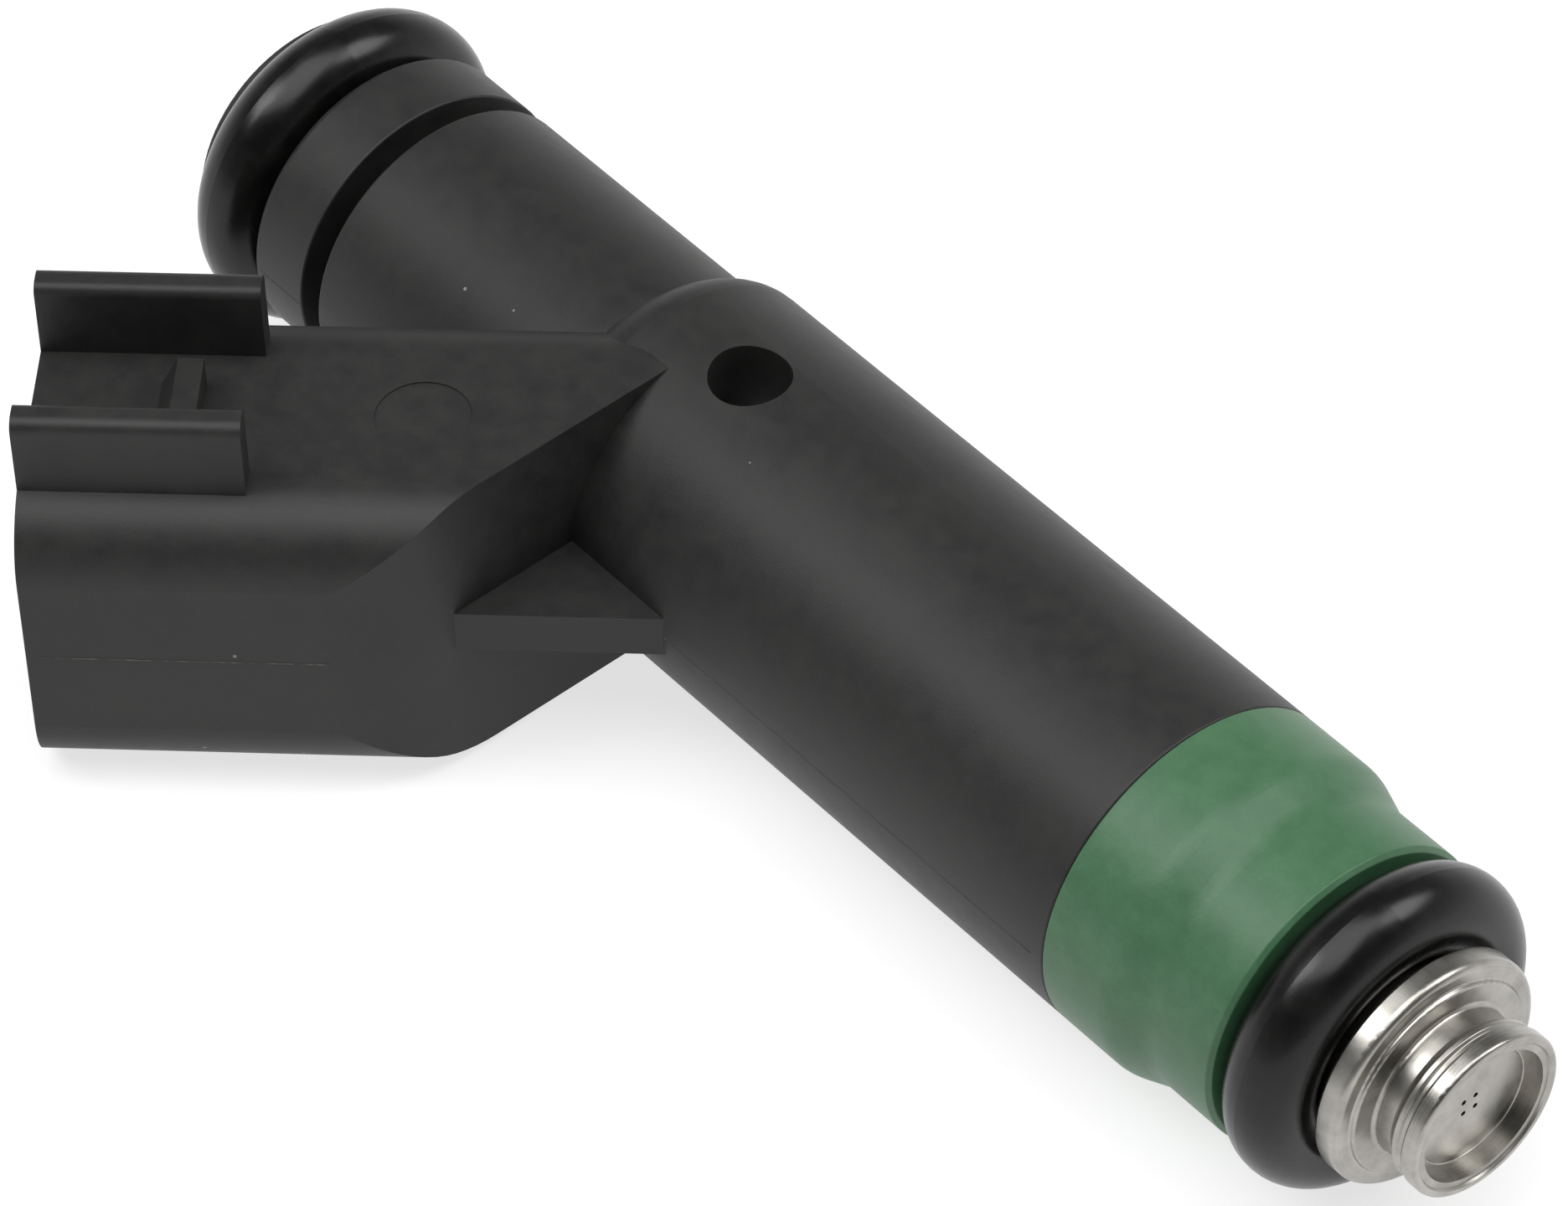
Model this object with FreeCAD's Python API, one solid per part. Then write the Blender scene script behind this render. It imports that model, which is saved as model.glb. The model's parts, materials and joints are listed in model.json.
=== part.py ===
import FreeCAD, Part
import math
import os

# A top-feed port fuel injector with a two-way electrical connector leaning towards its inlet.
#
# The injector lies on its side. Its axis is the X axis, with the nozzle at the origin spraying along +X and
# the fuel inlet on the -X side. The connector leans out towards -X and -Y, with its latch rails facing +Z,
# which is also the direction in which the plastic body's mould opens: the parting plane is Z = 0.
# Turned pieces are drawn as outlines of (station, radius), where the station is the distance from the nozzle
# tip towards the inlet. All sizes are in millimetres.

# Driving dimensions: the plastic body
BARREL_R = 7.8
NECK_R = 7.0
SLEEVE_TOP = 17.5
SLEEVE_END_R = 7.15
TAPER = (11.95, 13.75)
SHOULDER = 52.3
SHOULDER_ROUND = 2.2
CLIP_SLOT = (66.2, 67.4)
CLIP_SLOT_R = 5.4
COLLAR_TOP = 70.85
LENGTH = 75.9
CAP_R = 6.15
INLET_R = 2.1

# O-rings as (station, ring radius, cord radius); the upper one is a little thicker
LOWER_SEAL = (6.38, 5.64, 1.88)
UPPER_SEAL = (73.35, 5.73, 1.97)
SEAT_R = 3.75

# Nozzle
LIP_R = 3.9
LIP_LENGTH = 0.75
NOZZLE_NECK_R = 3.5
MOUTH_R = 3.18
FLANGE = (2.9, 4.1)
FLANGE_R = 5.4
LEDGE = (0.8, 0.95)
LEDGE_R = 2.75
PLATE = (0.95, 1.15)
CAP_BORE_R = 3.45
SPRAY_HOLE_R = 0.12
SPRAY_CIRCLE_R = 0.45
SPRAY_HOLES = 4

# Valve
VALVE_BORE_R = 2.6
BALL_R = 1.75
BALL_GAP = 0.01
SEAT_HALF_ANGLE = 52.0
THROAT_R = 0.8
THROAT_TOP = 2.5
LIFT = 0.10
STOP_GAP = 0.02
ARMATURE = (18.5, 27.88)
ARMATURE_R = 2.8
ARMATURE_BORE_R = 2.85
SHELL = (24.0, 34.0)
POLE_TOP = 40.0
SPRING = (25.6, 33.0)
SPRING_R = 1.2
SPRING_WIRE_R = 0.16
SPRING_TURNS = 8

# Magnet
HOUSING = (12.6, 40.6)
HOUSING_R = 6.6
HOUSING_BORE_R = 5.9
BOBBIN = (14.0, 38.9)
CLEAR = 0.05

# Connector, in its own frame: along it, across it towards the nozzle, and up
CONNECTOR_LEAN = 47.0
CONNECTOR_ROOT = 41.3
CONNECTOR_REACH = 32.3
SHROUD_HALF_ACROSS = 7.25
SHROUD_HALF_UP = 7.5
SHROUD_CORNER_R = 3.35
SHROUD_WALL = 1.5
CAVITY_DEPTH = 11.5
RAIL_LENGTH = 9.5
RAIL_INNER = 3.35
RAIL_THICK = 1.45
RAIL_HEIGHT = 3.65
RAMP_START = 7.2
RAMP_FLAT = 1.1
RAMP_LENGTH = 1.9
RAMP_HEIGHT = 1.5
RAMP_HALF_WIDTH = 1.6
WEB_UNDERSIDE = 47.7
WEB_SLOPE = -1.0
WEB_CORNER_R = 6.5
RIB_THICK = 2.1
RIB_ACROSS = 5.15
BLADE = (2.8, 0.8)
BLADE_PITCH = 5.0
BLADE_INSET = 2.0
LEG_Q = 5.0
LEG = (0.8, 0.8)
LEG_Z = 1.7

# Marks left by the mould
CORE_HOLE_STATION = 44.9
CORE_HOLE_R = 1.8
EJECTOR_R = 2.05
EJECTOR_ALONG = 15.9
EJECTOR_DEPTH = 0.06

TINY = 1e-6


def vec(x, y, z=0.0):
    return FreeCAD.Vector(x, y, z)


def rounded_wire(corners, to_point):
    """A closed wire through corners of (a, b) or (a, b, radius), with a tangent arc at each rounded one."""
    count = len(corners)
    points = [to_point(c[0], c[1]) for c in corners]
    entry, leave, bulge = [], [], []
    for i in range(count):
        radius = corners[i][2] if len(corners[i]) > 2 else 0.0
        here = points[i]
        back = (points[i - 1] - here).normalize()
        ahead = (points[(i + 1) % count] - here).normalize()
        if radius <= 0.0:
            entry.append(here)
            leave.append(here)
            bulge.append(None)
            continue
        half = back.getAngle(ahead) / 2.0
        reach = radius / math.tan(half)
        centre = here + (back + ahead).normalize() * (radius / math.sin(half))
        entry.append(here + back * reach)
        leave.append(here + ahead * reach)
        bulge.append(centre + (here - centre).normalize() * radius)
    edges = []
    for i in range(count):
        if bulge[i] is not None:
            edges.append(Part.Arc(entry[i], bulge[i], leave[i]).toShape())
        start, end = leave[i], entry[(i + 1) % count]
        if (end - start).Length > TINY:
            edges.append(Part.LineSegment(start, end).toShape())
    return Part.Wire(Part.__sortEdges__(edges))


def turned(*corners):
    """A solid turned about the injector's axis from an outline of (station, radius[, corner radius])."""
    wire = rounded_wire(corners, lambda station, radius: vec(-station, 0.0, radius))
    return Part.Face(wire).revolve(vec(0, 0), vec(1, 0), 360)


def tube(low, high, outer, inner=0.0):
    """A plain tube or rod between two stations."""
    along = vec(-1, 0)
    solid = Part.makeCylinder(outer, high - low, vec(-low, 0), along)
    if inner:
        solid = solid.cut(Part.makeCylinder(inner, high - low, vec(-low, 0), along))
    return solid


def seal(station, ring, cord):
    return Part.makeTorus(ring, cord, vec(-station, 0), vec(1, 0))


def to_connector(shape):
    """Places a shape drawn in the connector's frame: X along it, Y towards the nozzle, Z up."""
    shape.rotate(vec(0, 0), vec(0, 0, 1), 180.0 + CONNECTOR_LEAN)
    shape.translate(vec(-CONNECTOR_ROOT, 0))
    return shape


def block(low, high):
    """A box between two opposite corners."""
    size = high - low
    return Part.makeBox(size.x, size.y, size.z, low)


def prism(corners, axis, start, length):
    """An outline of (a, b[, radius]) pushed along X ('x': outline in Y, Z) or Z ('z': outline in X, Y)."""
    if axis == "x":
        wire = rounded_wire(corners, lambda a, b: vec(start, a, b))
        return Part.Face(wire).extrude(vec(length, 0))
    wire = rounded_wire(corners, lambda a, b: vec(a, b, start))
    return Part.Face(wire).extrude(vec(0, 0, length))


def rounded_rectangle(half_a, half_b, radius):
    signs = [(-1, -1), (1, -1), (1, 1), (-1, 1)]
    return [(a * half_a, b * half_b, radius) for a, b in signs]


def shroud_block():
    """The connector's square tube and the solid web that carries it down to the barrel."""
    section = rounded_rectangle(SHROUD_HALF_ACROSS, SHROUD_HALF_UP, SHROUD_CORNER_R)
    return to_connector(prism(section, "x", 0.0, CONNECTOR_REACH))


def plan_outline():
    """The web seen from above: its underside faces the nozzle and is almost square to the barrel."""
    slope = math.tan(math.radians(WEB_SLOPE))
    lean = math.radians(CONNECTOR_LEAN)
    along = vec(-math.cos(lean), -math.sin(lean))
    across = vec(math.sin(lean), -math.cos(lean))
    root = vec(-CONNECTOR_ROOT, 0)
    side = root + across * SHROUD_HALF_ACROSS
    # where the shroud's side, pushed back along the connector, meets the sloping underside
    back = (WEB_UNDERSIDE + side.x - side.y * slope) / (-along.x + slope * along.y)
    corner = side + along * back
    mouth_near = side + along * (CONNECTOR_REACH + 1.0)
    far = root - across * (SHROUD_HALF_ACROSS + 1.0)
    mouth_far = far + along * (CONNECTOR_REACH + 1.0)
    return [
        (-WEB_UNDERSIDE, 0.0),
        (corner.x, corner.y, WEB_CORNER_R),
        (mouth_near.x, mouth_near.y),
        (mouth_far.x, mouth_far.y),
        (-(WEB_UNDERSIDE + 12.0), 0.0),
    ]


def gusset_rib():
    """The thin rib on the parting plane, below the web, whose edge runs parallel to the connector."""
    inner = [
        (0.0, 0.0),
        (0.0, RIB_ACROSS),
        (CONNECTOR_REACH - CAVITY_DEPTH - 3.0, RIB_ACROSS, 0.6),
        (CONNECTOR_REACH - CAVITY_DEPTH - 3.0, 0.0),
    ]
    return to_connector(prism(inner, "z", -RIB_THICK / 2, RIB_THICK))


def latch_rails():
    """Two walls beside the latch channel, and the ramp that the mating latch rides over."""
    pieces = []
    low, high = SHROUD_HALF_UP - 0.5, SHROUD_HALF_UP + RAIL_HEIGHT
    start = CONNECTOR_REACH - RAIL_LENGTH
    for side in (-1, 1):
        inner, outer = side * RAIL_INNER, side * (RAIL_INNER + RAIL_THICK)
        section = [(inner, low), (inner, high, 0.45), (outer, high, 0.6), (outer, low)]
        pieces.append(prism(section, "x", start, RAIL_LENGTH))
    back = CONNECTOR_REACH - RAMP_START
    top = SHROUD_HALF_UP + RAMP_HEIGHT
    foot = back + RAMP_LENGTH
    wedge = [(back, low), (back, top), (back + RAMP_FLAT, top), (foot, SHROUD_HALF_UP), (foot, low)]
    points = [vec(a, -RAMP_HALF_WIDTH, b) for a, b in wedge]
    face = Part.Face(Part.makePolygon(points + points[:1]))
    pieces.append(face.extrude(vec(0, 2 * RAMP_HALF_WIDTH)))
    return to_connector(pieces[0].multiFuse(pieces[1:]))


def connector_cavity():
    """The hollow that the mating plug fills, with its two keying ribs left standing."""
    start = CONNECTOR_REACH - CAVITY_DEPTH
    half_across, half_up = SHROUD_HALF_ACROSS - SHROUD_WALL, SHROUD_HALF_UP - SHROUD_WALL
    hollow = prism(rounded_rectangle(half_across, half_up, 1.8), "x", start, CAVITY_DEPTH + 1.0)
    for side in (-1, 1):
        rib_low = vec(start, side * 2.6 - 0.5, -half_up - 1.0)
        rib_high = vec(CONNECTOR_REACH - 1.5, side * 2.6 + 0.5, -half_up + 0.9)
        rib = block(rib_low, rib_high)
        hollow = hollow.cut(rib)
    return to_connector(hollow)


def terminal(side):
    """One blade: side is -1 for the one nearer the inlet and 1 for the one nearer the nozzle."""
    lean = math.radians(CONNECTOR_LEAN)
    across = side * BLADE_PITCH / 2
    start = (LEG_Q - across * math.cos(lean)) / math.sin(lean)
    end = CONNECTOR_REACH - BLADE_INSET
    half_width, half_thick = BLADE[0] / 2, BLADE[1] / 2
    tip = 1.2
    outline = [
        (start, across - half_width),
        (end - tip, across - half_width),
        (end, across - half_width / 2),
        (end, across + half_width / 2),
        (end - tip, across + half_width),
        (start, across + half_width),
    ]
    blade = to_connector(prism(outline, "z", -half_thick, BLADE[1]))
    root_station = CONNECTOR_ROOT + start * math.cos(lean) - across * math.sin(lean)
    z_leg = -side * LEG_Z
    cross_low = vec(-root_station - LEG[0], -LEG_Q - LEG[0] / 2, min(0.0, z_leg) - half_thick)
    cross_high = vec(-root_station + LEG[0], -LEG_Q + LEG[0] / 2, max(0.0, z_leg) + half_thick)
    leg_low = vec(-root_station, -LEG_Q - LEG[0] / 2, z_leg - half_thick)
    leg_high = vec(-BOBBIN[1] - CLEAR, -LEG_Q + LEG[0] / 2, z_leg + half_thick)
    return blade.multiFuse([block(cross_low, cross_high), block(leg_low, leg_high)]).removeSplitter()


def body_of_revolution():
    """The barrel with its rounded shoulder, and the slimmer neck with the slot for the retaining clip."""
    barrel = turned(
        (SLEEVE_TOP, 0.0),
        (SLEEVE_TOP, BARREL_R, 0.12),
        (SHOULDER, BARREL_R, SHOULDER_ROUND),
        (SHOULDER, 0.0),
    )
    neck = turned(
        (SHOULDER - 3.0, 0.0),
        (SHOULDER - 3.0, NECK_R),
        (CLIP_SLOT[0], NECK_R, 0.1),
        (CLIP_SLOT[0], CLIP_SLOT_R),
        (CLIP_SLOT[1], CLIP_SLOT_R),
        (CLIP_SLOT[1], NECK_R, 0.1),
        (COLLAR_TOP, NECK_R, 0.35),
        (COLLAR_TOP, 0.0),
    )
    return barrel.fuse(neck)


def overmold_body(terminals):
    """The black plastic moulding: barrel, neck, web, rib and connector shroud in one piece."""
    web = shroud_block().common(prism(plan_outline(), "z", -20.0, 40.0))
    body = body_of_revolution().multiFuse([web, gusset_rib(), latch_rails()])
    mark = Part.makeCylinder(EJECTOR_R, 1.0, vec(EJECTOR_ALONG, 0, SHROUD_HALF_UP - EJECTOR_DEPTH))
    core = Part.makeCylinder(CORE_HOLE_R, 20.0, vec(-CORE_HOLE_STATION, 0, 0))
    inside = [
        tube(SLEEVE_TOP - 1.0, SLEEVE_TOP + 1.5, BARREL_R - 0.5),
        tube(SLEEVE_TOP, HOUSING[1], HOUSING_R),
        tube(HOUSING[1] - 1.0, COLLAR_TOP + 1.0, SEAT_R),
        connector_cavity(),
        to_connector(mark),
        core,
        terminals,
    ]
    return body.cut(inside).removeSplitter()


def lower_sleeve():
    """The green plastic carrier that closes the magnet and backs the lower seal."""
    spigot = BARREL_R - 0.52
    return turned(
        (8.3, SEAT_R),
        (8.3, 6.95, 0.1),
        (8.5, SLEEVE_END_R, 0.1),
        (TAPER[0], SLEEVE_END_R, 2.0),
        (TAPER[1], BARREL_R, 2.0),
        (SLEEVE_TOP, BARREL_R, 0.08),
        (SLEEVE_TOP, spigot),
        (SLEEVE_TOP + 1.5, spigot),
        (SLEEVE_TOP + 1.5, HOUSING_R),
        (HOUSING[0], HOUSING_R),
        (HOUSING[0], SEAT_R),
    )


def nozzle_cap():
    """The flanged metal thimble at the tip: lip, neck, flange and the sleeve that carries the lower seal."""
    return turned(
        (0.12, MOUTH_R + 0.3),
        (0.0, MOUTH_R + 0.38, 0.05),
        (0.0, LIP_R, 0.2),
        (LIP_LENGTH, LIP_R, 0.12),
        (LIP_LENGTH + 0.1, LIP_R - 0.22, 0.05),
        (LIP_LENGTH + 0.3, LIP_R - 0.22, 0.05),
        (LIP_LENGTH + 0.4, LIP_R - 0.1, 0.05),
        (LIP_LENGTH + 0.6, LIP_R - 0.1, 0.05),
        (LIP_LENGTH + 0.9, NOZZLE_NECK_R, 0.2),
        (FLANGE[0] - 0.2, NOZZLE_NECK_R, 0.2),
        (FLANGE[0] - 0.2, 4.55, 0.1),
        (FLANGE[0], 4.62, 0.1),
        (FLANGE[0] + 0.05, FLANGE_R, 0.35),
        (FLANGE[1], FLANGE_R, 0.15),
        (FLANGE[1], SEAT_R, 0.1),
        (8.0, SEAT_R),
        (8.0, CAP_BORE_R),
        (LEDGE[1], CAP_BORE_R),
        (LEDGE[1], LEDGE_R),
        (LEDGE[0], LEDGE_R, 0.06),
        (LEDGE[0], MOUTH_R),
        (0.12, MOUTH_R),
    )


def valve_body():
    return turned(
        (PLATE[1], VALVE_BORE_R),
        (PLATE[1], CAP_BORE_R - 0.02),
        (8.0, CAP_BORE_R - 0.02),
        (8.0, SEAT_R - 0.02),
        (SHELL[0], SEAT_R - 0.02),
        (SHELL[0], ARMATURE_BORE_R),
        (ARMATURE[0] - 1.0, ARMATURE_BORE_R),
        (ARMATURE[0] - 1.5, VALVE_BORE_R),
    )


def ball_station():
    """Where the ball's centre lies when it rests in the seat's cone."""
    half = math.radians(SEAT_HALF_ANGLE)
    return THROAT_TOP - THROAT_R / math.tan(half) + (BALL_R + BALL_GAP) / math.sin(half)


def valve_seat():
    cone_top_r = 1.9
    cone_top = THROAT_TOP + (cone_top_r - THROAT_R) / math.tan(math.radians(SEAT_HALF_ANGLE))
    outer = VALVE_BORE_R
    return turned(
        (PLATE[1], THROAT_R),
        (PLATE[1], outer),
        (4.6, outer),
        (4.6, cone_top_r),
        (cone_top, cone_top_r),
        (THROAT_TOP, THROAT_R),
    )


def orifice_plate():
    plate = tube(PLATE[0], PLATE[1], CAP_BORE_R - 0.02)
    for i in range(SPRAY_HOLES):
        turn = 2 * math.pi * (i + 0.5) / SPRAY_HOLES
        at = vec(-PLATE[1] - 0.1, SPRAY_CIRCLE_R * math.cos(turn), SPRAY_CIRCLE_R * math.sin(turn))
        plate = plate.cut(Part.makeCylinder(SPRAY_HOLE_R, 0.5, at, vec(1, 0)))
    return plate


def needle_guide():
    """The disc that centres the ball, with fuel holes round it."""
    disc = tube(4.6, 5.1, VALVE_BORE_R, BALL_R + 0.02)
    for i in range(5):
        turn = 2 * math.pi * i / 5
        at = vec(-5.2, 1.9 * math.cos(turn), 1.9 * math.sin(turn))
        disc = disc.cut(Part.makeCylinder(0.35, 0.8, at, vec(1, 0)))
    return disc


def needle_tube():
    """The hollow stem that joins the ball to the armature, with two fuel windows."""
    stem = tube(5.0, 20.5, 1.2, 0.8)
    stem = stem.cut(Part.makeSphere(BALL_R, vec(-ball_station(), 0)))
    window = Part.makeCylinder(0.45, 4.0, vec(-8.0, 0, -2.0))
    second = Part.makeCylinder(0.45, 4.0, vec(-10.5, -2.0, 0), vec(0, 1))
    return stem.cut(window).cut(second)


def armature():
    return turned(
        (ARMATURE[0], 1.2),
        (ARMATURE[0], ARMATURE_R, 0.2),
        (ARMATURE[1], ARMATURE_R, 0.1),
        (ARMATURE[1], 1.5),
        (SPRING[0], 1.5),
        (SPRING[0], 0.8),
        (20.5, 0.8),
        (20.5, 1.2),
    )


def return_spring():
    """A coil with its two ends ground flat, between the armature's pocket and the adjusting tube."""
    gap = 0.02
    height = SPRING[1] - SPRING[0] - 2 * gap
    pitch = (height - 2 * SPRING_WIRE_R) / SPRING_TURNS
    helix = Part.makeHelix(pitch, height - 2 * SPRING_WIRE_R, SPRING_R)
    profile = Part.Wire(Part.makeCircle(SPRING_WIRE_R, vec(SPRING_R, 0), vec(0, 1)))
    coil = Part.Wire(helix.Edges).makePipeShell([profile], True, True)
    coil.rotate(vec(0, 0), vec(0, 1), -90)
    coil.translate(vec(-SPRING[0] - gap - SPRING_WIRE_R, 0))
    return coil


def pole_piece():
    return turned(
        (ARMATURE[1] + LIFT + STOP_GAP, 1.6),
        (ARMATURE[1] + LIFT + STOP_GAP, ARMATURE_BORE_R, 0.1),
        (POLE_TOP, ARMATURE_BORE_R, 0.3),
        (POLE_TOP, 1.6, 0.3),
    )


def coil_housing():
    return turned(
        (HOUSING[0], SEAT_R),
        (HOUSING[0], HOUSING_R, 0.3),
        (HOUSING[1], HOUSING_R),
        (HOUSING[1], HOUSING_BORE_R),
        (HOUSING[0] + 1.2, HOUSING_BORE_R),
        (HOUSING[0] + 1.2, SEAT_R),
    )


def coil_bobbin():
    core, rim = 4.35, HOUSING_BORE_R - CLEAR
    return turned(
        (BOBBIN[0], SEAT_R + CLEAR),
        (BOBBIN[0], rim),
        (BOBBIN[0] + 1.0, rim),
        (BOBBIN[0] + 1.0, core),
        (BOBBIN[1] - 1.0, core),
        (BOBBIN[1] - 1.0, rim),
        (BOBBIN[1], rim),
        (BOBBIN[1], SEAT_R + CLEAR),
    )


def flux_washer(legs):
    ring = tube(BOBBIN[1] + 0.2, HOUSING[1], HOUSING_BORE_R - 0.01, SEAT_R)
    for side in (-1, 1):
        notch_low = vec(-HOUSING[1] - 1.0, -LEG_Q - 1.5, side * LEG_Z - 0.7)
        notch_high = vec(-BOBBIN[1], -LEG_Q + 0.7, side * LEG_Z + 0.7)
        ring = ring.cut(block(notch_low, notch_high))
    return ring.cut(legs)


def filter_frame():
    """The black inlet cap that keeps the upper seal on, moulded in one with the ribs of the fuel filter."""
    cap_low = UPPER_SEAL[0] + UPPER_SEAL[2] + 0.06
    hub_r = ARMATURE_BORE_R - 0.04
    cap = turned(
        (66.5, INLET_R),
        (66.5, hub_r),
        (cap_low, hub_r),
        (cap_low, 6.0, 0.08),
        (cap_low + 0.12, CAP_R, 0.04),
        (LENGTH, CAP_R, 0.2),
        (LENGTH, 2.9, 0.2),
        (LENGTH - 0.8, INLET_R, 0.1),
    )
    ribs = []
    for i in range(3):
        rib = block(vec(-66.5, -0.45, 2.5), vec(-57.0, 0.45, hub_r - 0.05))
        rib.rotate(vec(0, 0), vec(1, 0), 30 + 120 * i)
        ribs.append(rib)
    foot = turned((56.0, 0.0), (56.0, hub_r, 0.3), (57.6, hub_r), (57.6, 0.0))
    return cap.multiFuse(ribs + [foot]).removeSplitter()


def main():
    os.makedirs("parts", exist_ok=True)
    terminals = {"terminal_blade_inlet_side": terminal(-1), "terminal_blade_nozzle_side": terminal(1)}
    legs = list(terminals.values())
    parts = {
        "overmold_body": overmold_body(legs[0].fuse(legs[1])),
        "upper_o_ring": seal(*UPPER_SEAL),
        "lower_o_ring": seal(*LOWER_SEAL),
        "filter_frame": filter_frame(),
        "filter_screen": tube(57.6, 66.5, 2.5, 2.42),
        "inlet_tube": tube(SHELL[1], UPPER_SEAL[0] + UPPER_SEAL[2] + 0.04, SEAT_R - 0.01, ARMATURE_BORE_R),
        "pole_piece": pole_piece(),
        "adjusting_tube": tube(SPRING[1], 42.0, 1.58, 0.9),
        "return_spring": return_spring(),
        "armature": armature(),
        "needle_tube": needle_tube(),
        "valve_ball": Part.makeSphere(BALL_R, vec(-ball_station(), 0)),
        "lift_ring": tube(5.1, 5.9, VALVE_BORE_R, 1.85),
        "needle_guide": needle_guide(),
        "valve_seat": valve_seat(),
        "orifice_plate": orifice_plate(),
        "nozzle_cap": nozzle_cap(),
        "valve_body": valve_body(),
        "nonmagnetic_shell": tube(SHELL[0], SHELL[1], SEAT_R - 0.02, ARMATURE_BORE_R),
        "coil_bobbin": coil_bobbin(),
        "coil_winding": tube(BOBBIN[0] + 1.0, BOBBIN[1] - 1.0, 5.7, 4.35),
        "coil_housing": coil_housing(),
        "flux_washer": flux_washer(legs[0].fuse(legs[1])),
        "lower_sleeve": lower_sleeve(),
    }
    parts.update(terminals)
    for name, shape in parts.items():
        if not shape.isValid() or shape.Volume <= 0 or not shape.Solids:
            print("CHECK", name, shape.isValid(), shape.Volume, len(shape.Solids))
        shape.exportStep(f"parts/{name}.step")
    print(len(parts), "parts;", {n: len(s.Solids) for n, s in parts.items() if len(s.Solids) != 1})


main()
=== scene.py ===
# %% [markdown]
# # A port fuel injector
# The injector's exact shapes come from its engineering model, which the first cell imports as one object
# per piece. Blender's job is to make every piece look like what it is: glass-filled nylon, rubber, turned
# stainless steel. Sizes are in metres, the spray leaves along +X, and the latch side faces +Z.

# %% Load the injector
import bpy
import bmesh
import json
import math
from mathutils import Matrix, Vector


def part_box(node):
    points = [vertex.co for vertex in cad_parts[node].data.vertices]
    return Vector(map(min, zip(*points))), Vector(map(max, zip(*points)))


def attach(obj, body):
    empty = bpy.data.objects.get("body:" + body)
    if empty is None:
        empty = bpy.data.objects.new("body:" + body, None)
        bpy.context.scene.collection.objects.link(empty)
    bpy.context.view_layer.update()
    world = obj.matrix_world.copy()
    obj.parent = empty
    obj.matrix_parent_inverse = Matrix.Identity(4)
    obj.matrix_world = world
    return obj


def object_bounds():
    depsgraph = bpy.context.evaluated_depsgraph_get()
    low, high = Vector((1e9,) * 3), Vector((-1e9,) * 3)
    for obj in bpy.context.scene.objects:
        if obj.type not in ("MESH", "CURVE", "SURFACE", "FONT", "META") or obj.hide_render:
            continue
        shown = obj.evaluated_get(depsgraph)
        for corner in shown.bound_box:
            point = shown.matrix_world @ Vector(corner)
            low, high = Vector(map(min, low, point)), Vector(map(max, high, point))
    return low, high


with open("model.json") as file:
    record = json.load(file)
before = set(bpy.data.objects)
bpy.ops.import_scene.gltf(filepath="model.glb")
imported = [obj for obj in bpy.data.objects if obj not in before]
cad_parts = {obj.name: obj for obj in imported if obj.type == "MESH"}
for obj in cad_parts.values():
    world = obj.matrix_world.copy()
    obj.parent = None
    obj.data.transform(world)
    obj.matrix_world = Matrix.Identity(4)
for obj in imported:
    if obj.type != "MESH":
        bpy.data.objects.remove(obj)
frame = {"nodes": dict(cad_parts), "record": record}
nodes = frame["nodes"]
cad_low, cad_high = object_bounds()
MM = 0.001
print("pieces:", len(nodes), "length in mm:", round((cad_high.x - cad_low.x) / MM, 1))

# %% [markdown]
# ## The camera
# A product shot of a small part is taken from far off with a long lens, so parallel edges stay nearly
# parallel. Keeping the viewing direction as an azimuth, an elevation and a small roll makes it easy to
# read and to change, which a bare rotation matrix is not. The aim is a point inside the injector.

# %% Camera
LENS = 177.67
AZIMUTH, ELEVATION, ROLL = (math.radians(angle) for angle in (51.566, 45.673, -1.867))
AIM = Vector((-37.948, -4.118, 2.317)) * MM
DISTANCE = 320.26 * MM


def direction(azimuth, elevation):
    """The way from the object towards a viewer."""
    flat = math.cos(elevation)
    return Vector((math.sin(azimuth) * flat, -math.cos(azimuth) * flat, math.sin(elevation)))


back = direction(AZIMUTH, ELEVATION)
camera_data = bpy.data.cameras.new("camera")
camera_data.lens = LENS
camera_data.sensor_width = 36
camera_data.clip_start, camera_data.clip_end = 0.01, 20
camera = bpy.data.objects.new("camera", camera_data)
bpy.context.scene.collection.objects.link(camera)
turn = (-back).to_track_quat("-Z", "Y").to_matrix().to_4x4() @ Matrix.Rotation(ROLL, 4, "Z")
camera.matrix_world = Matrix.Translation(AIM + back * DISTANCE) @ turn
bpy.context.scene.camera = camera
print("camera at", [round(c / MM) for c in camera.matrix_world.translation], "mm")

# %% [markdown]
# ## The floor and the light
# A pale sweep lit from all round gives a clean white ground. The floor here is a plane at the barrel's
# lowest line. Big soft lamps leave broad, gentle highlights on satin plastic. One stands behind the
# nozzle end, which draws the pale band along the barrel's upper edge.

# %% Floor
floor_mesh = bpy.data.meshes.new("floor")
corners = [(-3, -3), (3, -3), (3, 3), (-3, 3)]
floor_mesh.from_pydata([(x, y, cad_low.z - 0.05 * MM) for x, y in corners], [], [(0, 1, 2, 3)])
floor = bpy.data.objects.new("floor", floor_mesh)
bpy.context.scene.collection.objects.link(floor)
print("floor height in mm:", round(floor_mesh.vertices[0].co.z / MM, 2))


# %% Lamps and sky
def soft_lamp(name, azimuth, elevation, away, size, watts):
    """A square lamp that faces the injector from a given side."""
    data = bpy.data.lights.new(name, "AREA")
    data.shape = "SQUARE"
    data.size = size
    data.energy = watts
    lamp = bpy.data.objects.new(name, data)
    bpy.context.scene.collection.objects.link(lamp)
    way = direction(math.radians(azimuth), math.radians(elevation))
    lamp.location = AIM + way * away
    lamp.rotation_mode = "QUATERNION"
    lamp.rotation_quaternion = (-way).to_track_quat("-Z", "Y")
    return lamp


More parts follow.
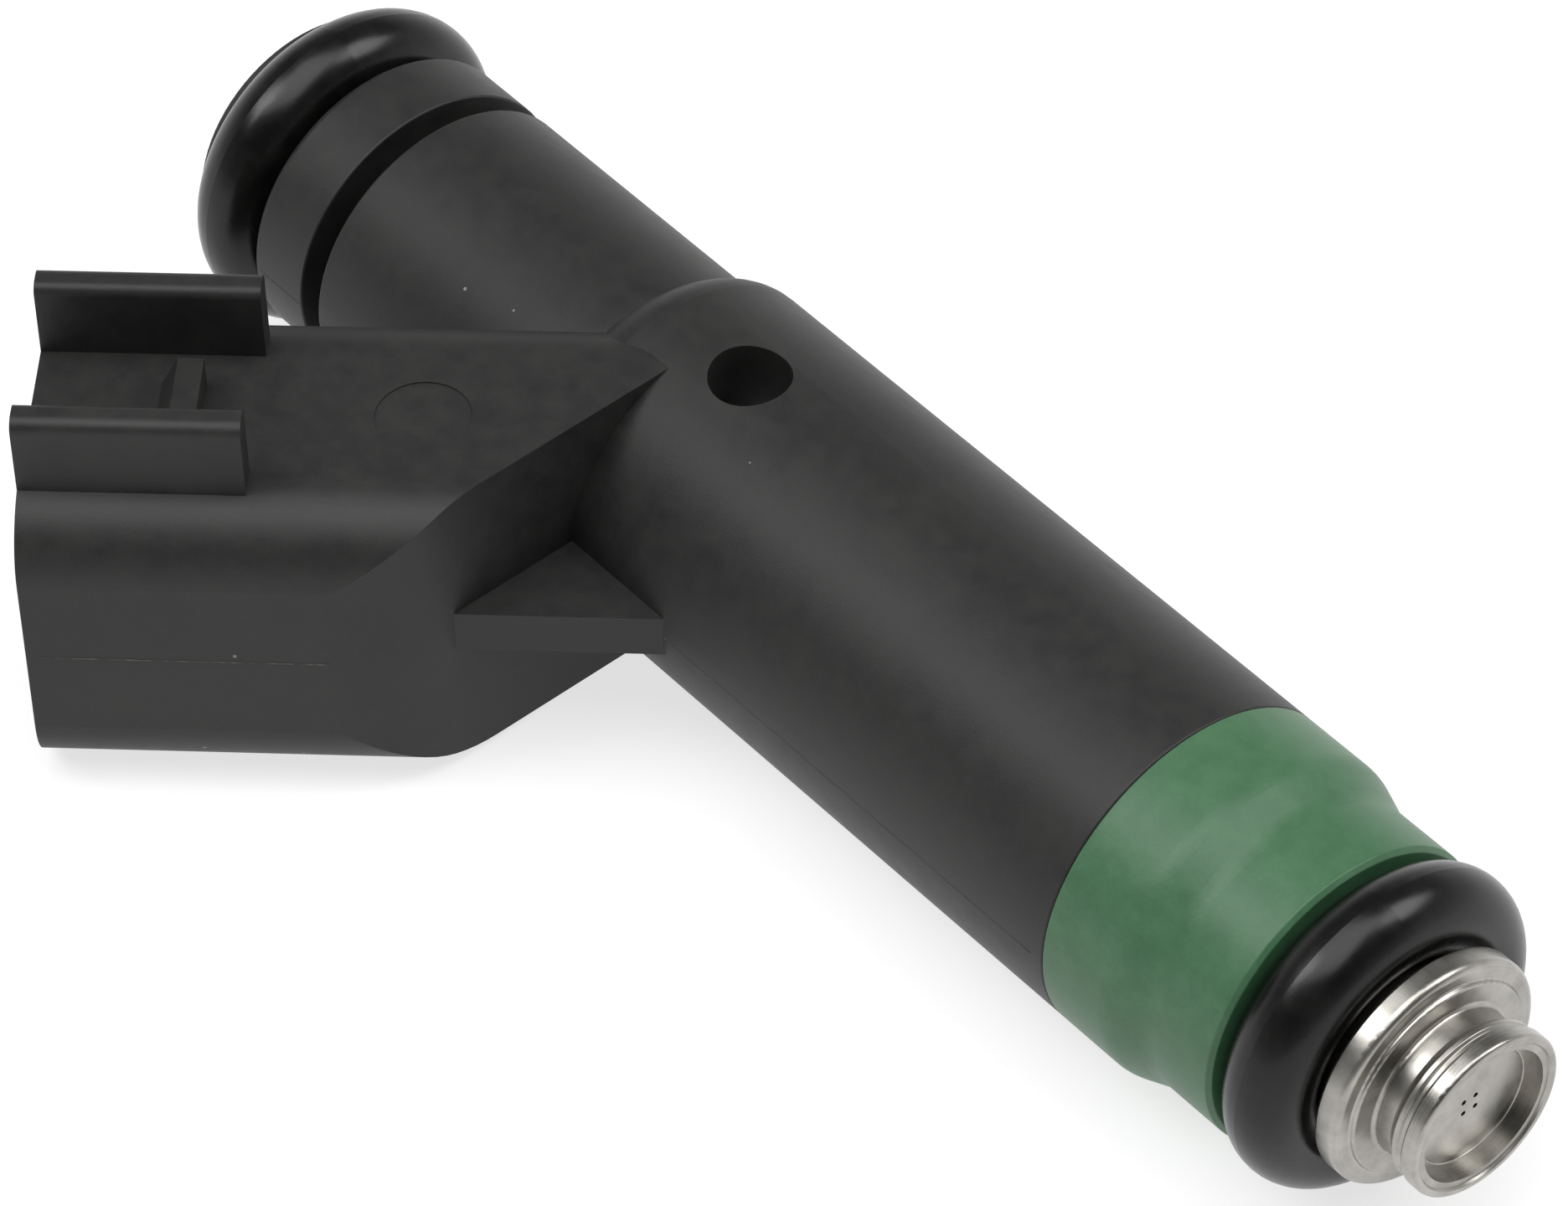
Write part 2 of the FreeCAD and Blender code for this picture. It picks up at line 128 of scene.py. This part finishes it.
# name, azimuth, elevation, distance, side, power: degrees, metres and watts
LAMPS = [
    ("overhead", 30, 80, 1.0, 0.9, 8.5),
    ("left_box", -35, 52, 0.9, 0.35, 3.0),
    ("back_box", 150, 50, 0.9, 0.45, 3.5),
]
for lamp in LAMPS:
    soft_lamp(*lamp)
scene = bpy.context.scene
scene.world = bpy.data.worlds.new("studio")
scene.world.use_nodes = True
scene.view_settings.view_transform = "Standard"
print("lamps:", [lamp[0] for lamp in LAMPS])

# %% [markdown]
# ## Arithmetic for finishes
# A finish is a small sum: grain here, plus a streak there, times a mask. In Blender each of those is a
# node, and wiring them by hand hides the sum. `Value` wraps one socket, so that `1 - mask * 0.5` adds
# the nodes by itself. It is for plain numbers only: colours are mixed with a Mix node instead.


# %% Values that can be added and multiplied
class Value:
    """One node socket that takes part in ordinary arithmetic."""

    def __init__(self, wiring, socket):
        self.wiring = wiring
        self.socket = socket

    def _math(self, operation, *terms):
        inputs = dict(enumerate(terms))
        return self.wiring.node("ShaderNodeMath", {"operation": operation}, inputs)

    def __add__(self, other):
        return self._math("ADD", self, other)

    def __sub__(self, other):
        return self._math("SUBTRACT", self, other)

    def __rsub__(self, other):
        return self._math("SUBTRACT", other, self)

    def __mul__(self, other):
        return self._math("MULTIPLY", self, other)

    def __gt__(self, other):
        return self._math("GREATER_THAN", self, other)

    def __lt__(self, other):
        return self._math("LESS_THAN", self, other)

    def smooth(self, low, high):
        """0 below low, 1 above high, and an even ramp between."""
        return self.wiring.node(
            "ShaderNodeMapRange",
            {"interpolation_type": "SMOOTHSTEP"},
            {"Value": self, "From Min": low, "From Max": high},
        )

    __radd__ = __add__
    __rmul__ = __mul__


# %% [markdown]
# ## One way to make a node
# `node` makes any node: its type, then its settings, then its inputs, which are plain values or links. It
# works in any node tree, so the sky and the finishes below are wired in the same way.


# %% The node maker
class Wiring:
    """Makes and links nodes in one node tree."""

    def __init__(self, tree):
        self.tree = tree

    def node(self, kind, settings=None, inputs=None, output=0):
        made = self.tree.nodes.new(kind)
        for setting, value in (settings or {}).items():
            if setting == "stops":
                self._stops(made.color_ramp, value)
            else:
                setattr(made, setting, value)
        for socket, value in (inputs or {}).items():
            self._feed(made.inputs[socket], value)
        return Value(self, made.outputs[output])

    def _feed(self, socket, value):
        if isinstance(value, Value):
            self.tree.links.new(value.socket, socket)
        else:
            socket.default_value = value

    def _stops(self, ramp, stops):
        while len(ramp.elements) < len(stops):
            ramp.elements.new(0.5)
        for element, (position, colour) in zip(ramp.elements, stops):
            element.position = position
            element.color = colour


# %% [markdown]
# A studio is bright near the floor, where the sweep curves up, and dim overhead, where the room is. Black
# plastic mirrors a few hundredths of what is around it, so this falling light is what shapes it. The sky
# is a ramp over height, dimmed towards the room's open side, and it stays put when the camera moves.

# %% Sky
SKY_LOW, SKY_HIGH = 0.9, 0.16
OPEN_SIDE = (0.57, -0.82, 0.0)
OPEN_SIDE_LIGHT = 0.35
ramp_stops = [(0.12, (SKY_LOW, SKY_LOW, SKY_LOW, 1)), (0.5, (SKY_HIGH, SKY_HIGH, SKY_HIGH, 1))]
sky = Wiring(scene.world.node_tree)
way = sky.node("ShaderNodeTexCoord", output="Generated")
height = sky.node("ShaderNodeSeparateXYZ", None, {0: way}, output="Z")
fall = sky.node("ShaderNodeValToRGB", {"stops": ramp_stops}, {0: height})
dot_product = {"operation": "DOT_PRODUCT"}
openness = sky.node("ShaderNodeVectorMath", dot_product, {0: way, 1: OPEN_SIDE}, output="Value")
dimming_range = {
    "Value": openness,
    "From Min": -0.3,
    "From Max": 0.6,
    "To Min": 1.0,
    "To Max": OPEN_SIDE_LIGHT,
}
glow = fall * sky.node("ShaderNodeMapRange", None, dimming_range)
sky.tree.links.new(glow.socket, sky.tree.nodes["Background"].inputs["Color"])
print("sky falls from", SKY_LOW, "to", SKY_HIGH)

# %% [markdown]
# ## One way to make a finish
# Every finish starts as a Principled shader. Constant values are set on the shader's own sockets, and
# only what varies over the surface is linked. `place` gives the point on the object in millimetres, so
# grain has its real size.


# %% The finish maker
class Finish(Wiring):
    """A material under construction."""

    def __init__(self, name, **constants):
        self.material = bpy.data.materials.new(name)
        self.material.use_nodes = True
        super().__init__(self.material.node_tree)
        self.shader = self.tree.nodes["Principled BSDF"]
        for socket, value in constants.items():
            self.shader.inputs[socket.replace("_", " ")].default_value = value

    def place(self):
        """The point on the object, in millimetres."""
        here = self.node("ShaderNodeTexCoord", output="Object")
        scaled = {"operation": "SCALE"}
        return self.node("ShaderNodeVectorMath", scaled, {0: here, "Scale": 1 / MM})

    def part_of(self, vector, axis):
        return self.node("ShaderNodeSeparateXYZ", None, {0: vector}, output=axis)

    def stretched(self, vector, scale):
        return self.node("ShaderNodeMapping", None, {"Vector": vector, "Scale": scale})

    def noise(self, vector, scale, detail=2.0, roughness=0.5):
        """Cloudy noise from 0 to 1, with this many lumps in a millimetre."""
        inputs = {"Vector": vector, "Scale": scale, "Detail": detail, "Roughness": roughness}
        return self.node("ShaderNodeTexNoise", None, inputs)

    def specks(self, vector, per_mm, size, share):
        """Small round flecks in some of the cells of a grid of points."""
        inputs = {"Vector": vector, "Scale": per_mm}
        near = self.node("ShaderNodeTexVoronoi", None, inputs, output="Distance")
        colour = self.node("ShaderNodeTexVoronoi", None, inputs, output="Color")
        luck = self.part_of(colour, "X")
        return (near < size) * (luck > 1 - share)

    def mix(self, amount, first, second):
        inputs = {0: amount, 6: first, 7: second}
        return self.node("ShaderNodeMix", {"data_type": "RGBA"}, inputs, output=2)

    def bump(self, height, strength, distance):
        """A surface whose height varies by this many millimetres."""
        inputs = {"Height": height, "Strength": strength, "Distance": distance * MM}
        self.surface(Normal=self.node("ShaderNodeBump", None, inputs))

    def surface(self, **links):
        for socket, value in links.items():
            self._feed(self.shader.inputs[socket.replace("_", " ")], value)


def colour(red, green, blue):
    """A colour given as it reads on a screen, 0 to 255, turned into the light it stands for."""
    parts = [part / 255 for part in (red, green, blue)]
    linear = [part / 12.92 if part < 0.04 else ((part + 0.055) / 1.055) ** 2.4 for part in parts]
    return (*linear, 1.0)


print("mid grey as light:", round(colour(128, 128, 128)[0], 3))

# %% [markdown]
# ## Black glass-filled nylon
# The body is moulded from nylon with short glass fibres in it. The mould's surface leaves a very fine
# grain, and fibres near the skin make it mottled, so it looks satin and not glossy. Two noises do this:
# a fine one for the grain, and a larger one that shifts the roughness. A few pale dust flecks sit on top.


# %% Black nylon
def moulded_nylon(name, dark, pale, roughness, grain_height, dust=0.10):
    """Satin moulded plastic with fine grain, soft mottling and a little dust."""
    finish = Finish(name, IOR=1.5, Specular_IOR_Level=0.36)
    place = finish.place()
    grain = finish.noise(place, 9.0, 3.0)
    mottle = finish.noise(place, 0.9, 4.0, 0.6)
    clouds = finish.noise(place, 0.16, 2.0)
    flecks = finish.specks(place, 0.75, 0.06, dust)
    tone = mottle * 0.5 + clouds * 0.3 + grain * 0.2
    body = finish.mix(tone.smooth(0.3, 0.7), dark, pale)
    dusty = finish.mix(flecks * 0.55, body, colour(168, 168, 160))
    finish.surface(Base_Color=dusty, Roughness=roughness + (mottle - 0.5) * 0.16 + flecks * 0.25)
    finish.bump(grain + mottle * 0.4, 0.55, grain_height)
    return finish.material


black_nylon = moulded_nylon("black_nylon", colour(24, 25, 24), colour(36, 37, 35), 0.5, 0.012)
print("made", black_nylon.name)

# %% [markdown]
# ## The green sleeve and the filter frame
# The sleeve is the same kind of plastic with a green pigment, moulded in a smoother tool. The filter
# frame is black and coarser. One maker with other numbers gives both, as one material family should.

# %% Green and coarse black nylon
green_nylon = moulded_nylon("green_nylon", colour(54, 92, 63), colour(68, 106, 76), 0.42, 0.008, 0.06)
filter_nylon = moulded_nylon("filter_nylon", colour(27, 28, 27), colour(38, 39, 37), 0.6, 0.03)
print("made", green_nylon.name, filter_nylon.name)

# %% [markdown]
# ## O-ring rubber
# O-rings are compression moulded and often lightly oiled. They are deep black and smoother than the
# plastic, so lamps show as two soft streaks round the ring. A faint film breaks the streaks up.

# %% Rubber
rubber = Finish("o_ring_rubber", IOR=1.52, Specular_IOR_Level=0.3)
place = rubber.place()
film = rubber.noise(place, 0.7, 3.0, 0.6)
skin = rubber.noise(place, 12.0, 2.0)
lint = rubber.specks(place, 0.8, 0.05, 0.08)
rubber_tone = rubber.mix(film.smooth(0.35, 0.7), colour(10, 10, 10), colour(18, 18, 17))
rubber_top = rubber.mix(lint * 0.5, rubber_tone, colour(150, 150, 145))
rubber.surface(Base_Color=rubber_top, Roughness=0.19 + film * 0.14 + lint * 0.3)
rubber.bump(skin + film * 0.5, 0.4, 0.006)
print("made", rubber.material.name)

# %% [markdown]
# ## Turned and ground metal
# A lathe leaves rings so fine that they read as brushed light round the axis. The rings here are noise
# stretched round the injector: it changes quickly along X and hardly at all across it. The same maker
# serves all the steels, with another tint, roughness and depth of ring.


# %% Metals
def turned_metal(name, tint, roughness, ring_height, rings=14.0):
    """Bare metal with lathe rings about the injector's axis."""
    finish = Finish(name, Metallic=1.0)
    place = finish.place()
    along = finish.stretched(place, (rings, 0.02, 0.02))
    ring = finish.noise(along, 1.0, 3.0, 0.7)
    cloud = finish.noise(place, 0.8, 3.0, 0.6)
    darker = tuple(part * 0.62 for part in tint[:3]) + (1.0,)
    shade = finish.mix((ring * 0.5 + cloud * 0.5).smooth(0.3, 0.68), darker, tint)
    finish.surface(Base_Color=shade, Roughness=roughness + (ring - 0.5) * 0.2 + (cloud - 0.5) * 0.12)
    finish.bump(ring, 0.6, ring_height)
    return finish.material


METALS = {
    "stainless": (colour(178, 175, 169), 0.3, 0.005),
    "magnetic_steel": (colour(172, 172, 172), 0.36, 0.010),
    "hard_steel": (colour(200, 201, 205), 0.16, 0.004),
    "spring_steel": (colour(150, 152, 156), 0.30, 0.006),
    "terminal_tin": (colour(206, 204, 198), 0.34, 0.006),
}
finishes = {name: turned_metal(name, *numbers) for name, numbers in METALS.items()}
print("metals:", sorted(finishes))

# %% [markdown]
# ## The coil and the filter's mesh
# The winding is enamelled copper wire laid side by side, which a wave along the axis shows well. The
# filter is a woven mesh too fine to model thread by thread, so two crossed waves stand for its threads.
# Both are hidden in the finished injector, but they show if a piece is taken out.

# %% Copper winding
copper = Finish("copper_winding", Metallic=1.0, Coat_IOR=1.5)
place = copper.place()
by_length, by_width = {"bands_direction": "X"}, {"bands_direction": "Y"}
wire = copper.node("ShaderNodeTexWave", by_length, {"Vector": place, "Scale": 1.6}, output="Fac")
tint = copper.mix(wire.smooth(0.1, 0.9), colour(110, 52, 28), colour(196, 112, 66))
copper.surface(Base_Color=tint, Roughness=0.3 + wire * 0.1)
copper.bump(wire, 0.8, 0.05)
finishes["copper_winding"] = copper.material
print("made", copper.material.name)

# %% Filter mesh and bobbin
mesh = Finish("filter_mesh")
place = mesh.place()
weave = {"Vector": place, "Scale": 2.6}
warp = mesh.node("ShaderNodeTexWave", by_length, weave, output="Fac")
weft = mesh.node("ShaderNodeTexWave", by_width, weave, output="Fac")
thread = (warp * weft).smooth(0.05, 0.5)
mesh_tint = mesh.mix(thread, colour(120, 118, 108), colour(222, 220, 210))
mesh.surface(Base_Color=mesh_tint, Roughness=0.55 + thread * 0.1)
mesh.bump(thread, 0.7, 0.02)
finishes["filter_mesh"] = mesh.material
bobbin = moulded_nylon("bobbin_plastic", colour(196, 188, 166), colour(214, 206, 186), 0.5, 0.01)
finishes["bobbin_plastic"] = bobbin
finishes.update({"black_nylon": black_nylon, "green_nylon": green_nylon, "filter_nylon": filter_nylon})
finishes["o_ring_rubber"] = rubber.material
print("finishes:", len(finishes))

# %% [markdown]
# ## Give every piece its finish
# The record says which finish each piece takes. Assigning to the material slot changes the look only,
# and leaves the piece's mesh as it was made.

# %% Assign the finishes
for part in frame["record"]["subparts"]:
    piece = nodes[part["node"]]
    piece.data.materials.clear()
    piece.data.materials.append(finishes[part["material_slot"]])

# %% [markdown]
# ## The floor's finish
# Pale and matt, with the faintest unevenness. It is a light table: most of its brightness is its own
# glow, which keeps the shadow under the injector faint.

# %% Floor finish
WHITE = (1, 1, 1, 1)
card = Finish("floor_card", Specular_IOR_Level=0.1, Emission_Color=WHITE, Emission_Strength=0.72)
card_place = card.place()
fibre = card.noise(card_place, 0.01, 2.0)
card_tint = card.mix(fibre, colour(150, 150, 150), colour(156, 156, 156))
card.surface(Base_Color=card_tint, Roughness=0.9 + fibre * 0.05)
floor_mesh.materials.append(card.material)
print("made", card.material.name)

# %% [markdown]
# ## Mould flash
# Where the two halves of a mould meet, a hair of plastic is squeezed out. It runs along the parting
# plane, Z = 0, and it is broken where it was rubbed off. A bead is swept along the line as a mesh whose
# thickness varies, so the line is real geometry and fades in and out as it should.


# %% A bead along a line
def bead(name, points, outward, widths, finish):
    """A thin ridge along points. Each place has its own outward direction and width, in metres."""
    shape = bmesh.new()
    rows = []
    for i, point in enumerate(points):
        before, after = points[max(i - 1, 0)], points[min(i + 1, len(points) - 1)]
        run = (after - before).normalized()
        out = outward[i]
        side = run.cross(out).normalized()
        width = widths[i]
        foot = point - out * 0.03 * MM
        row = [foot - side * width, point + out * width * 0.8, foot + side * width, foot - out * 0.02 * MM]
        rows.append([shape.verts.new(corner) for corner in row])
    for first, second in zip(rows, rows[1:]):
        for k in range(4):
            shape.faces.new((first[k], first[(k + 1) % 4], second[(k + 1) % 4], second[k]))
    shape.faces.new(rows[0])
    shape.faces.new(rows[-1])
    bmesh.ops.recalc_face_normals(shape, faces=shape.faces)
    mesh_data = bpy.data.meshes.new(name)
    shape.to_mesh(mesh_data)
    shape.free()
    for face in mesh_data.polygons:
        face.use_smooth = True
    mesh_data.materials.append(finish)
    piece = bpy.data.objects.new(name, mesh_data)
    bpy.context.scene.collection.objects.link(piece)
    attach(piece, "housing")
    return piece


def uneven(i, low, high):
    """A repeatable uneven number between low and high."""
    wave = math.sin(i * 1.7) + math.sin(i * 0.63 + 1.0) + math.sin(i * 3.1 + 2.0)
    return low + (high - low) * min(max(wave / 4 + 0.5, 0.0), 1.0)


# %% [markdown]
# The connector leans from the barrel, so its own directions are worth naming once: `along` points out of
# the socket and `across` points to the side that faces the nozzle.

# %% Flash lines on the body
BARREL_R, NECK_R = 7.8, 7.0
LEAN = math.radians(47.0)
along = Vector((-math.cos(LEAN), -math.sin(LEAN), 0))
across = Vector((math.sin(LEAN), -math.cos(LEAN), 0))
root = Vector((-41.3, 0, 0)) * MM
flash_finish = moulded_nylon("flash_nylon", colour(60, 60, 57), colour(96, 95, 89), 0.55, 0.01)


def flash_run(name, start, end, out, low, high, steps=60):
    points = [start.lerp(end, i / steps) for i in range(steps + 1)]
    widths = [uneven(i, low, high) * MM for i in range(steps + 1)]
    return bead(name, points, [out] * len(points), widths, flash_finish)


SIDE = 7.25 * MM
near_side, far_side = root + across * SIDE, root - across * SIDE
tip = along * 31.6 * MM
flash_run("flash_connector_side", near_side + along * 19.6 * MM, near_side + tip, across, 0.015, 0.065)
flash_run("flash_connector_inlet_side", far_side + along * 17 * MM, far_side + tip, -across, 0.01, 0.045)
down = Vector((0, -1, 0))
for name, start, end, radius in [
    ("flash_barrel", -18.2, -41.0, BARREL_R),
    ("flash_collar", -67.6, -70.4, NECK_R),
    ("flash_neck", -60.0, -66.0, NECK_R),
]:
    first, last = Vector((start, 0, 0)) * MM, Vector((end, 0, 0)) * MM
    aside = down * radius * MM
    flash_run(name, first + aside, last + aside, down, 0.006, 0.03)
    # the barrel's far side is the injector's widest point, so no ridge may stand on it
    if radius < BARREL_R:
        flash_run(name + "_back", first - aside, last - aside, -down, 0.006, 0.02)
print("flash runs made")

# %% [markdown]
# ## Seam on the O-rings
# An O-ring is moulded in two halves too, and a fine seam is left round its outside. It is a closed bead,
# so it gets its own short maker: the same ridge, bent into a ring.


# %% O-ring seams
def ring_seam(name, station, radius, steps=180):
    points, outs, widths = [], [], []
    for i in range(steps + 1):
        angle = 2 * math.pi * i / steps
        out = Vector((0, math.cos(angle), math.sin(angle)))
        points.append(Vector((-station * MM, 0, 0)) + out * (radius - 0.004) * MM)
        outs.append(out)
        widths.append(uneven(i % steps, 0.010, 0.022) * MM)
    return bead(name, points, outs, widths, finishes["o_ring_rubber"])


for name in ("lower_o_ring", "upper_o_ring"):
    low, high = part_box(name)
    middle = -(low.x + high.x) / 2 / MM
    ring_seam(name + "_seam", middle, high.z / MM - 0.02)
    print(name, "seam at station", round(middle, 2))
